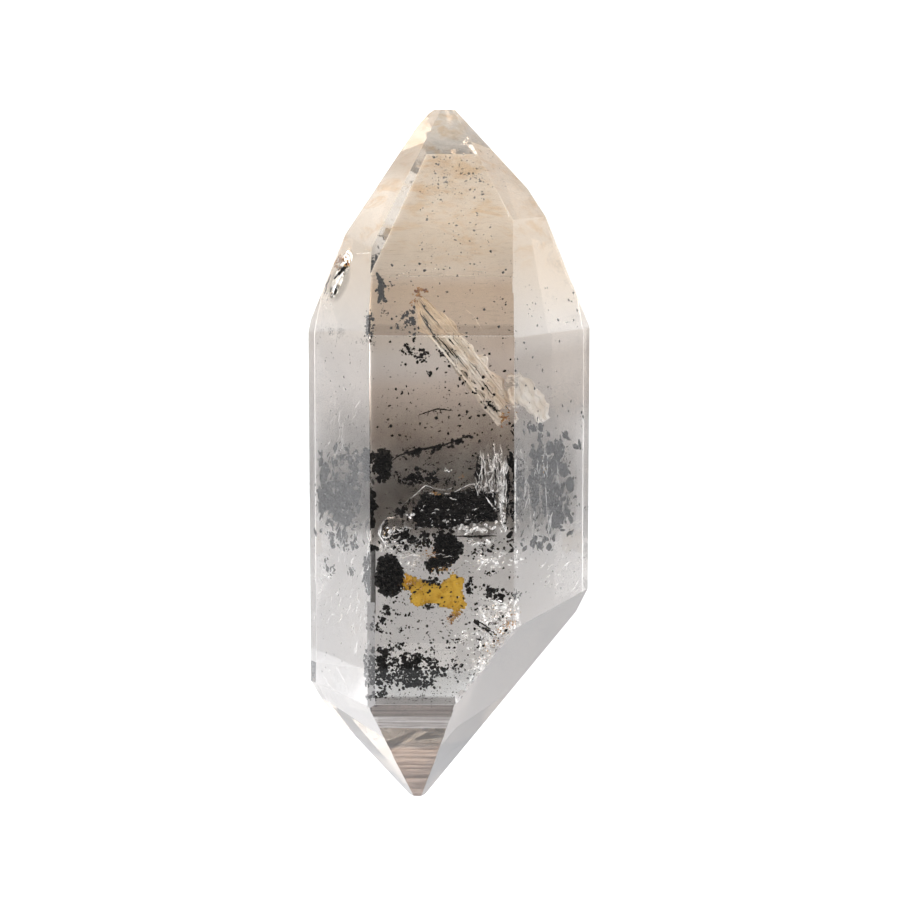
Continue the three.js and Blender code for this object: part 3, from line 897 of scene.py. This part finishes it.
# Dark matter deep in the quartz, seen mostly through the side faces, in the same form as the crumb clusters.
DEEP_CLUSTERS = [
    (-11.3, -3.6, 0.6, 2.4, 0, 130, 0.9, 6.0),
    (-9.9, -4.6, 0.9, 2.2, 0, 150, 0.9, 4.5),
    (-8.7, -3.4, 0.5, 2.8, 0, 200, 0.6, 1.6),
    (-7.7, -3.4, 0.2, 2.6, 0, 40, 0.2, 0.7),
    (-9.4, -0.4, 1.4, 0.9, 20, 50, 0.7, 3.5),
    (-9.8, -8.0, 1.9, 0.9, -20, 80, 0.6, 3.5),
    (-10.9, -10.6, 0.5, 0.8, 10, 24, 0.4, 3.0),
    (-8.8, -11.0, 0.4, 0.7, 20, 20, 0.4, 2.0),
    (7.8, -3.0, 0.6, 3.0, 0, 170, 0.6, 1.6),
    (6.4, -3.0, 0.3, 2.8, 0, 130, 0.3, 0.7),
    (9.2, -1.0, 1.3, 1.9, -30, 150, 0.9, 4.5),
    (9.4, -5.0, 1.4, 2.0, 20, 160, 0.9, 4.5),
    (8.0, -8.4, 1.5, 0.8, 0, 60, 0.6, 2.6),
    (7.6, 1.9, 1.1, 0.6, -40, 26, 0.5, 2.5),
    (0.0, -1.4, 5.0, 0.9, 6, 160, 0.16, 4.5),
    (-1.0, -2.9, 5.2, 0.7, -4, 260, 0.18, 4.5),
]

# Dark lines in the view: depth, radius, then x and y of each place.
DARK_LINES = [
    (2.4, 0.10, 0.4, -7.75, 2.0, -7.8, 4.2, -7.7),
    (2.8, 0.10, -5.2, -1.0, -4.6, -0.5, -3.0, 0.0, -1.0, 0.3, 0.6, 0.9, 1.9, 1.4),
    (2.2, 0.09, 5.15, -0.4, 5.2, -3.0, 5.15, -6.6),
    (2.3, 0.07, 2.5, -0.4, 2.4, -1.6, 2.5, -2.9),
    (2.3, 0.06, 3.0, -0.9, 3.05, -2.6),
    (2.3, 0.06, 4.0, -0.3, 4.1, -2.2, 4.05, -3.2),
    (2.3, 0.05, 4.5, -1.0, 4.45, -2.8),
    (2.2, 0.05, 2.0, -4.8, 2.4, -5.4),
    (2.5, 0.07, -2.9, 3.1, -1.2, 3.7, 0.3, 3.5),
    (1.7, 0.07, 2.4, -15.3, 3.4, -15.9, 4.1, -16.6),
    (1.8, 0.06, 2.1, -15.5, 3.1, -16.2, 3.8, -16.9),
    (0.35, 0.16, -9.3, 17.0, -9.9, 16.2, -10.6, 15.5),
    (0.35, 0.12, -10.7, 15.8, -11.1, 14.9, -11.3, 14.1),
    (0.35, 0.10, -10.3, 14.9, -10.5, 14.1),
    (0.5, 0.26, -6.6, 16.0, -6.2, 15.0, -6.2, 13.9, -6.5, 13.2),
    (0.6, 0.14, -7.3, 12.4, -7.2, 11.2, -7.3, 10.0),
]

# White frosted fractures in the view: x, y, half length, half width, turn, count, largest half size, depth.
FROST_CLUSTERS = [
    (3.6, -2.0, 0.5, 1.5, 0, 40, 0.20, 3.2),
    (4.6, -1.3, 0.5, 0.8, 0, 20, 0.2, 3.0),
    (4.65, -5.3, 0.2, 1.6, 0, 130, 0.26, 2.8),
    (-0.3, -1.9, 0.7, 0.25, -5, 30, 0.14, 2.9),
    (2.3, -7.0, 1.7, 0.4, 3, 160, 0.26, 2.7),
    (2.2, -8.3, 1.2, 0.3, 0, 90, 0.22, 2.7),
    (-4.9, -7.6, 1.2, 0.6, -25, 120, 0.24, 2.9),
    (-5.7, -8.9, 0.7, 0.35, 0, 60, 0.20, 2.9),
    (-3.6, -9.8, 1.3, 0.9, 0, 160, 0.22, 3.2),
    (-1.8, -9.6, 0.7, 0.4, 0, 50, 0.20, 3.0),
    (-0.6, -10.9, 0.8, 0.3, 10, 50, 0.18, 2.6),
    (3.6, -9.9, 1.6, 1.0, 0, 120, 0.24, 3.4),
    (4.6, -14.2, 1.0, 0.5, 12, 140, 0.30, 1.9),
    (4.2, -15.4, 1.6, 1.0, -20, 220, 0.32, 2.4),
    (1.2, -17.0, 0.7, 0.6, -40, 60, 0.26, 2.0),
    (3.6, -17.0, 1.4, 0.8, 40, 160, 0.22, 1.6),
    (2.8, -19.0, 1.4, 0.8, 50, 160, 0.18, 1.2),
    (-9.8, 15.4, 0.5, 1.2, -28, 34, 0.16, 0.6),
    (-10.9, 13.6, 0.5, 0.7, -20, 50, 0.18, 0.5),
    (-2.7, -8.4, 1.4, 0.3, 0, 40, 0.14, 2.7),
    (-3.6, -5.9, 0.4, 0.3, 40, 16, 0.22, 2.0),
]

# Rust-brown grains, in the same form as the crumb clusters.
RUST_CLUSTERS = [
    (-2.7, 14.2, 0.5, 0.3, 20, 60, 0.2, 0.4),
    (-3.3, 13.3, 0.4, 0.2, 40, 30, 0.14, 0.4),
    (4.9, 3.0, 0.35, 0.7, -15, 90, 0.16, 1.8, 0.5, 0.3),
    (-1.2, -3.9, 0.6, 0.15, 0, 40, 0.1, 2.0),
    (-1.6, -9.2, 0.7, 0.4, 0, 60, 0.12, 2.1),
    (-0.6, -10.8, 0.9, 0.4, 10, 70, 0.12, 2.1),
    (0.3, -14.9, 0.4, 0.9, -30, 90, 0.16, 2.2),
    (5.2, -15.6, 0.5, 1.4, -38, 90, 0.12, 0.8),
    (4.0, -17.6, 0.6, 1.4, -38, 60, 0.12, 0.9),
    (-9.9, 16.9, 0.45, 0.5, -40, 90, 0.22, 0.3),
    (1.4, -2.4, 0.5, 0.25, 10, 16, 0.12, 2.6),
    (-3.0, -11.9, 0.9, 0.5, 0, 60, 0.12, 2.0),
    (8.3, -1.2, 0.2, 0.7, 10, 30, 0.14, 2.2),
]

# Thin white lines in the same form: fracture edges and scratches, and painted highlights along the rims of the
# plate and the chamber.
WHITE_LINES = [
    # Painted highlights along the plate's rim.
    (2.2, 0.03, -4.0, -4.7, -3.1, -4.0, -2.2, -3.2, -1.5, -3.5, -0.4, -3.7, 0.3, -3.4),
    (2.2, 0.035, 0.4, -3.8, 1.0, -3.4, 1.7, -3.1, 2.4, -3.0),
    (2.0, 0.06, 3.2, -4.2, 3.7, -4.9, 4.2, -5.4),
    # Painted highlights along the chamber's rim.
    (1.9, 0.07, -3.6, -7.2, -3.9, -7.9, -4.6, -8.4, -5.5, -8.8),
    (1.9, 0.08, -6.2, -6.9, -6.3, -7.7, -5.9, -8.3, -5.5, -8.5),
    (1.6, 0.07, 2.6, -13.3, 3.6, -13.5, 4.6, -13.8, 5.4, -13.9),
    (1.6, 0.08, 5.6, -13.6, 4.8, -14.2, 4.0, -14.5),
    (2.6, 0.04, -3.9, -9.4, -3.0, -8.3, -1.8, -7.9),
    (2.2, 0.06, 6.9, -0.5, 7.0, -3.0, 7.3, -7.0),
    (2.2, 0.06, 8.4, -0.4, 8.6, -3.6, 8.9, -8.0),
    (2.2, 0.05, 8.0, -1.0, 8.5, -2.0),
    (1.2, 0.05, -11.4, -11.2, -10.6, -11.5),
    (1.2, 0.06, -10.2, -19.5, -9.4, -21.0, -9.2, -22.0),
    (1.6, 0.05, 4.9, 4.4, 6.2, 3.6),
    (1.2, 0.04, 1.1, 12.9, 2.3, 12.0, 2.9, 10.8),
    (0.5, 0.05, -6.9, -23.9, -6.4, -24.7, -6.2, -25.2),
    (0.5, 0.04, -2.8, -25.0, -1.9, -25.2),
    (0.3, 0.08, -9.1, 18.2, -9.0, 16.6),
    (0.3, 0.08, -9.7, 16.1, -10.3, 15.0, -10.8, 13.9),
    (0.3, 0.10, -10.2, 15.2, -11.1, 13.6),
    (0.3, 0.10, -9.3, 15.9, -9.9, 15.0),
    (0.15, 0.05, -8.4, 17.7, -7.1, 17.7),
]

# The dim zone: its half width, its ends along the crystal, how far it takes to thicken and to end, the height
# of its middle, its half depth and the least of it.
SMOKE_HALF_WIDTH = 11.4
SMOKE_TOP = 7.2
SMOKE_BOTTOM = -7.6
SMOKE_RISE = 9.4
SMOKE_FALL = 2.2
SMOKE_MIDDLE = 9.6
SMOKE_HALF_DEPTH = 6.6
SMOKE_LEAST = 0.002

# The milky film's share of the surface over the upper faces, and what the tips have besides.
FILM = 0.10
TIP_FILM = 0.14

# Light: the sky's strength, what is left of it straight overhead, its shares towards the head and the foot of
# the picture, the cones about overhead between which it fades, how far towards an end it is dimmest, and its
# tone. Then the key's power, place and size and the floor's half size and depth below the crystal, in metres.
SKY = 3.0
SKY_OVERHEAD = 0.15
SKY_HEAD = 0.55
SKY_FOOT = 0.3
SKY_CONES = (40, 18)
SKY_END = 0.9
SKY_TONE = (0.98, 0.985, 1.0)
KEY_WATTS = 2.5
KEY_PLACE = (-0.16, 0.38, 0.75)
KEY_SIZE = 0.5
FLOOR_HALF = 1.5
FLOOR_DROP = 0.0001

# The bundle of growth tubes: its two ends in the view, its half width and depths, the points along a tube, and
# the tubes, their dark lining and the sheets between them.
TUBES_FROM = (-3.2, 13.9)
TUBES_TO = (5.1, 3.2)
TUBES_HALF_WIDTH = (0.55, 1.15)
TUBE_RADIUS = 0.13
TUBES_DEPTHS = (0.5, 2.6)
TUBE_COUNT = 8
LINING_COUNT = 16
LINING_RADIUS = 0.055
BUNDLE_STEPS = 40
SHEET_THICKNESS = 0.06

# Pleated sheets of the bundle: ends in the view, half widths along it, depths at its ends, rows and columns.
# The first is the bundle's body, the next its lower strand, and the last is seen through the right face.
PLEATED_SHEETS = [
    (((-3.0, 13.8), (5.0, 3.5)), (0.35, 1.3, 0.9, 1.3, 1.2, 1.1), (0.7, 2.8), 70, 40),
    (((-1.3, 9.9), (4.9, 2.2)), (0.15, 0.3, 0.5, 0.5), (1.9, 2.9), 50, 14),
    (((5.9, 6.9), (8.7, 2.5)), (0.3, 0.9, 1.1, 0.9, 0.5), (1.7, 2.0), 40, 26),
]


def make_crumbs(bitumen):
    heap = Heap(11)
    for row in CRUMB_CLUSTERS:
        heap.cluster(*row)
    for depth, radius, *places in DARK_LINES:
        heap.line(places, depth, radius, wander=0.06)
    heap.piece("bitumen_crumbs", bitumen, "bitumen")
    deep = Heap(17)
    for row in DEEP_CLUSTERS:
        deep.cluster(*row, 0.9, 0.3)
    deep.piece("deep_bitumen", bitumen, "bitumen")


def make_specks(bitumen):
    heap = Heap(12)
    for area in SPECK_AREAS:
        heap.scatter(*area)
    heap.piece("bitumen_specks", bitumen, "bitumen")


def make_frost(frost):
    heap = Heap(13)
    for row in FROST_CLUSTERS:
        heap.cluster(*row, flat=0.15)
    # The white lines include painted highlights along the rims of the plate and the chamber.
    for depth, radius, *places in WHITE_LINES:
        heap.line(places, depth, radius, wander=0.05, flat=0.5)
    heap.piece("fracture_frost_and_rim_highlights", frost, "quartz")
    fine = Heap(18)
    for area in WHITE_AREAS:
        fine.scatter(*area, flat=0.2)
    for area in WISP_AREAS:
        fine.wisps(*area)
    fine.piece("fine_fractures", frost, "quartz")


def bundle_path(side, start, end, rng, wander):
    """A path along the bundle at a share of its half width, from one share of its length to another."""
    share = np.linspace(start, end, BUNDLE_STEPS)
    run = np.array(TUBES_TO) - np.array(TUBES_FROM)
    aside = np.array([-run[1], run[0]]) / np.hypot(*run)
    width = np.interp(share, [0, 0.25, 1], [TUBES_HALF_WIDTH[0], TUBES_HALF_WIDTH[1], TUBES_HALF_WIDTH[1]])
    drift = wander * np.cumsum(rng.normal(size=BUNDLE_STEPS)) / math.sqrt(BUNDLE_STEPS)
    off = side * width + drift
    x = TUBES_FROM[0] + run[0] * share + aside[0] * off
    y = TUBES_FROM[1] + run[1] * share + aside[1] * off
    depth = np.interp(share, [0, 1], TUBES_DEPTHS) + 0.3 * rng.normal()
    return into(x, y, np.maximum(depth, 0.35))


def pleated_sheet(heap, ends, half_widths, depths, along, across):
    """A thin sheet with pleats along it, closed all round, from one place in the view to another."""
    share = np.linspace(0.02, 0.97, along)[:, None]
    side = np.linspace(-1, 1, across)[None, :]
    run = np.array(ends[1]) - np.array(ends[0])
    aside = np.array([-run[1], run[0]]) / np.hypot(*run)
    wobble = heap.rng.normal(size=along // 4)
    rim = 0.16 * np.interp(share, np.linspace(0, 1, len(wobble)), wobble)
    rim = rim + 0.04 * heap.rng.normal(size=(along, 1))
    off = (side + rim) * np.interp(share, np.linspace(0, 1, len(half_widths)), half_widths)
    x = ends[0][0] + run[0] * share + aside[0] * off
    y = ends[0][1] + run[1] * share + aside[1] * off
    pleat = 0.14 * np.sin(9 * side + 2 * np.sin(7 * share)) + 0.08 * np.sin(23 * side + 5 * share + wobble[0])
    depth = np.interp(share, [0, 1], depths) + pleat
    over, under = into(x, y, depth).reshape(-1, 3), into(x, y, depth + SHEET_THICKNESS).reshape(-1, 3)
    heap.add(np.concatenate([over, under])[None], sheet_faces(along, across))


def make_tubes(tube, bitumen, rust):
    heap = Heap(14)
    rng = heap.rng
    for sheet in PLEATED_SHEETS:
        pleated_sheet(heap, *sheet)
    for i in range(TUBE_COUNT):
        side = -0.95 + 1.9 * i / (TUBE_COUNT - 1)
        start = rng.uniform(0, 0.1) + 0.12 * abs(side)
        end = rng.uniform(0.85, 1.0)
        path = bundle_path(side, start, end, rng, 0.12)
        swell = np.sin(np.linspace(0.2, math.pi - 0.2, BUNDLE_STEPS)) ** 0.4
        heap.tube(path, TUBE_RADIUS * rng.uniform(0.7, 1.3) * swell, 8, 0.6)
    heap.piece("growth_tubes", tube, "quartz", smooth=True)

    lines = Heap(15)
    rng = lines.rng
    for _ in range(LINING_COUNT):
        start = rng.uniform(0.02, 0.8)
        path = bundle_path(rng.uniform(-0.9, 0.5), start, min(start + rng.uniform(0.08, 0.3), 1), rng, 0.1)
        swell = np.sin(np.linspace(0.2, 2.9, BUNDLE_STEPS))
        lines.tube(path - np.array([0, 0, 0.05]), LINING_RADIUS * rng.uniform(0.6, 1.4) * swell)
    lines.cluster(3.6, 3.9, 0.8, 0.3, -35, 60, 0.16, 2.2)
    lines.cluster(0.0, 8.3, 1.8, 0.16, -52, 60, 0.14, 2.0)
    lines.cluster(1.6, 6.2, 1.2, 0.2, -52, 40, 0.14, 2.4)
    lines.piece("tube_lining", bitumen, "bitumen")

    stain = Heap(16)
    for row in RUST_CLUSTERS:
        stain.cluster(*row)
    stain.piece("rust_spots", rust, "bitumen")


def make_bitumen_bodies(bitumen):
    plate = Heap(21)
    slab(plate, "bitumen_plate", 0.08, 0.3, 0.5, 1.3)
    points = inside_of("bitumen_plate", plate.rng, 500)
    plate.shards(points, plate.sizes(500, 0.26), CRUMB, 0.5)
    plate.piece("broken_plate", bitumen, "bitumen", "bitumen_plate")
    for seed, (node, count, size) in enumerate([
        ("bitumen_lump_center", 420, 0.34),
        ("bitumen_lump_left", 480, 0.36),
        ("bitumen_lump_upper_left", 300, 0.28),
        ("bitumen_band_low", 420, 0.22),
    ]):
        lump = Heap(30 + seed)
        points = inside_of(node, lump.rng, count)
        lump.shards(points, lump.rng.uniform(0.35, 1, count) * size, CRUMB, 0.8, 0.22)
        lump.piece(node.replace("bitumen", "crumbly"), bitumen, "bitumen", node)


def make_oil(oil):
    pool = Heap(41)
    slab(pool, "oil_pool", 0.12, 0.22, 0.3, 0.8)
    pool.piece("oil_drop", oil, "oil", "oil_pool", smooth=True)
    fringe = Heap(42)
    fringe.cluster(-3.8, -11.9, 0.45, 0.8, 0, 60, 0.34, 2.3, flat=0.4)
    fringe.cluster(0.6, -14.3, 0.5, 0.35, -40, 24, 0.26, 2.3, flat=0.4)
    fringe.piece("oil_fringe", oil, "oil")


def rounded(name, node, material, slot, squeeze, ripple):
    """A smooth liquid form that fills a node of the frame."""
    low, high = (np.array(corner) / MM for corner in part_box(node))
    heap = Heap(51)
    points = PEBBLE[0].copy()
    for i, point in enumerate(points):
        lobes = 1 + ripple * noise.noise(Vector(point) * 1.4 + Vector((4, 1, 2)))
        points[i] = (low + high) / 2 + point * lobes * squeeze * (high - low) / 2
    heap.add(points[None], PEBBLE[1])
    heap.piece(name, material, slot, node, smooth=True)


def make_smoke(smoke):
    """The dim zone about the plate: a wedge that thickens downwards from nothing and ends in a ragged edge."""
    xs = np.linspace(-SMOKE_HALF_WIDTH, SMOKE_HALF_WIDTH, 61)
    ys = np.linspace(SMOKE_TOP, SMOKE_BOTTOM, 81)
    over, under = [], []
    for y in ys:
        for x in xs:
            ragged = 1.8 * noise.noise(Vector((0.5 * x, 2, 5))) + 0.9 * noise.noise(Vector((1.9 * x, 1, 5)))
            rise = min(max((SMOKE_TOP - y) / SMOKE_RISE, 0), 1)
            fall = min(max((y - SMOKE_BOTTOM - 0.9 - ragged) / SMOKE_FALL, 0), 1)
            across = 1 - abs(x / SMOKE_HALF_WIDTH) ** 2.5
            lumpy = 1 + 0.5 * noise.noise(Vector((0.4 * x, 0.5 * y, 7)))
            lumpy += 0.3 * noise.noise(Vector((x, 1.3 * y, 3)))
            half = SMOKE_HALF_DEPTH * rise ** 1.2 * math.sqrt(fall) * across ** 0.7 * lumpy + SMOKE_LEAST
            over.append((x, y, SMOKE_MIDDLE + half))
            under.append((x, y, SMOKE_MIDDLE - half))
    heap = Heap(61)
    heap.add(np.array(under + over)[None], sheet_faces(len(ys), len(xs)))
    heap.piece("smoky_zone", smoke, "quartz", smooth=True)


# Camera, floor and light

def to_metres(piece):
    piece.data.transform(Matrix.Scale(MM, 4))
    piece.data.update()


def make_camera():
    camera = new_object("camera", bpy.data.cameras.new("camera"))
    camera.data.lens = CAMERA_LENS
    camera.data.sensor_width = 36
    camera.data.clip_start = 0.001
    camera.matrix_world = Matrix((VIEW_RIGHT, VIEW_UP, VIEW_BACK)).transposed().to_4x4()
    camera.location = EYE * MM
    bpy.context.scene.camera = camera


def make_floor():
    mesh = bpy.data.meshes.new("floor")
    corners = [(x * FLOOR_HALF, y * FLOOR_HALF, -FLOOR_DROP) for x, y in ((-1, -1), (1, -1), (1, 1), (-1, 1))]
    mesh.from_pydata(corners, [], [(0, 1, 2, 3)])
    floor = new_object("floor", mesh)
    material = bpy.data.materials.new("floor")
    material.use_nodes = True
    shader = material.node_tree.nodes["Principled BSDF"]
    shader.inputs["Base Color"].default_value = (0.93, 0.93, 0.94, 1)
    shader.inputs["Roughness"].default_value = 0.9
    shader.inputs["Specular IOR Level"].default_value = 0.1
    mesh.materials.append(material)


def add_key():
    light = bpy.data.lights.new("key", "AREA")
    light.shape = "SQUARE"
    light.size = KEY_SIZE
    light.energy = KEY_WATTS
    lamp = new_object("key", light)
    lamp.location = KEY_PLACE
    lamp.rotation_euler = (-Vector(KEY_PLACE)).to_track_quat("-Z", "Y").to_euler()


def make_lights():
    """A white studio sky, dim overhead where the camera hangs and towards both ends, and a soft key."""
    world = bpy.data.worlds.new("studio")
    sky = Shade(world, "Generated", 1.0)
    _, y, z = sky.axes()
    overhead = sky.between(z, *(math.cos(math.radians(cone)) for cone in SKY_CONES))
    strength = sky.math("ADD", sky.both(overhead, SKY_OVERHEAD - SKY), SKY)
    for end, share in ((SKY_END, SKY_HEAD), (-SKY_END, SKY_FOOT)):
        open_sky = sky.between(y, end, end / 3)
        strength = sky.both(strength, sky.math("ADD", sky.both(open_sky, 1 - share), share))
    background = sky.tree.nodes["Background"].inputs
    background["Color"].default_value = (*SKY_TONE, 1)
    sky.put(background["Strength"], strength)
    bpy.context.scene.world = world
    add_key()


scene = bpy.context.scene
scene.view_settings.view_transform = "Standard"
scene.cycles.transmission_bounces = 24
scene.cycles.glossy_bounces = 24
scene.cycles.diffuse_bounces = 6
scene.cycles.max_bounces = 32
scene.cycles.transparent_max_bounces = 32

make_camera()
make_floor()
make_lights()

crystal = make_crystal()
crystal.data.materials.clear()
crystal.data.materials.append(quartz_material())
to_metres(crystal)
finish_piece(crystal, "quartz", "crystal_front", "crystal_back")

black = bitumen_material()
make_crumbs(black)
make_specks(black)
make_frost(mottled_material("fracture_frost_and_rim_highlights"))
make_tubes(mottled_material("growth_tube"), black, mottled_material("rust"))
make_bitumen_bodies(black)
make_oil(mottled_material("oil"))
rounded("fluid_pocket", "fluid_chamber", mottled_material("fluid"), "fluid", 0.96, 0.35)
rounded("vapour_bubble", "gas_bubble", mottled_material("gas"), "gas", 1.0, 0.0)
make_smoke(smoke_material())
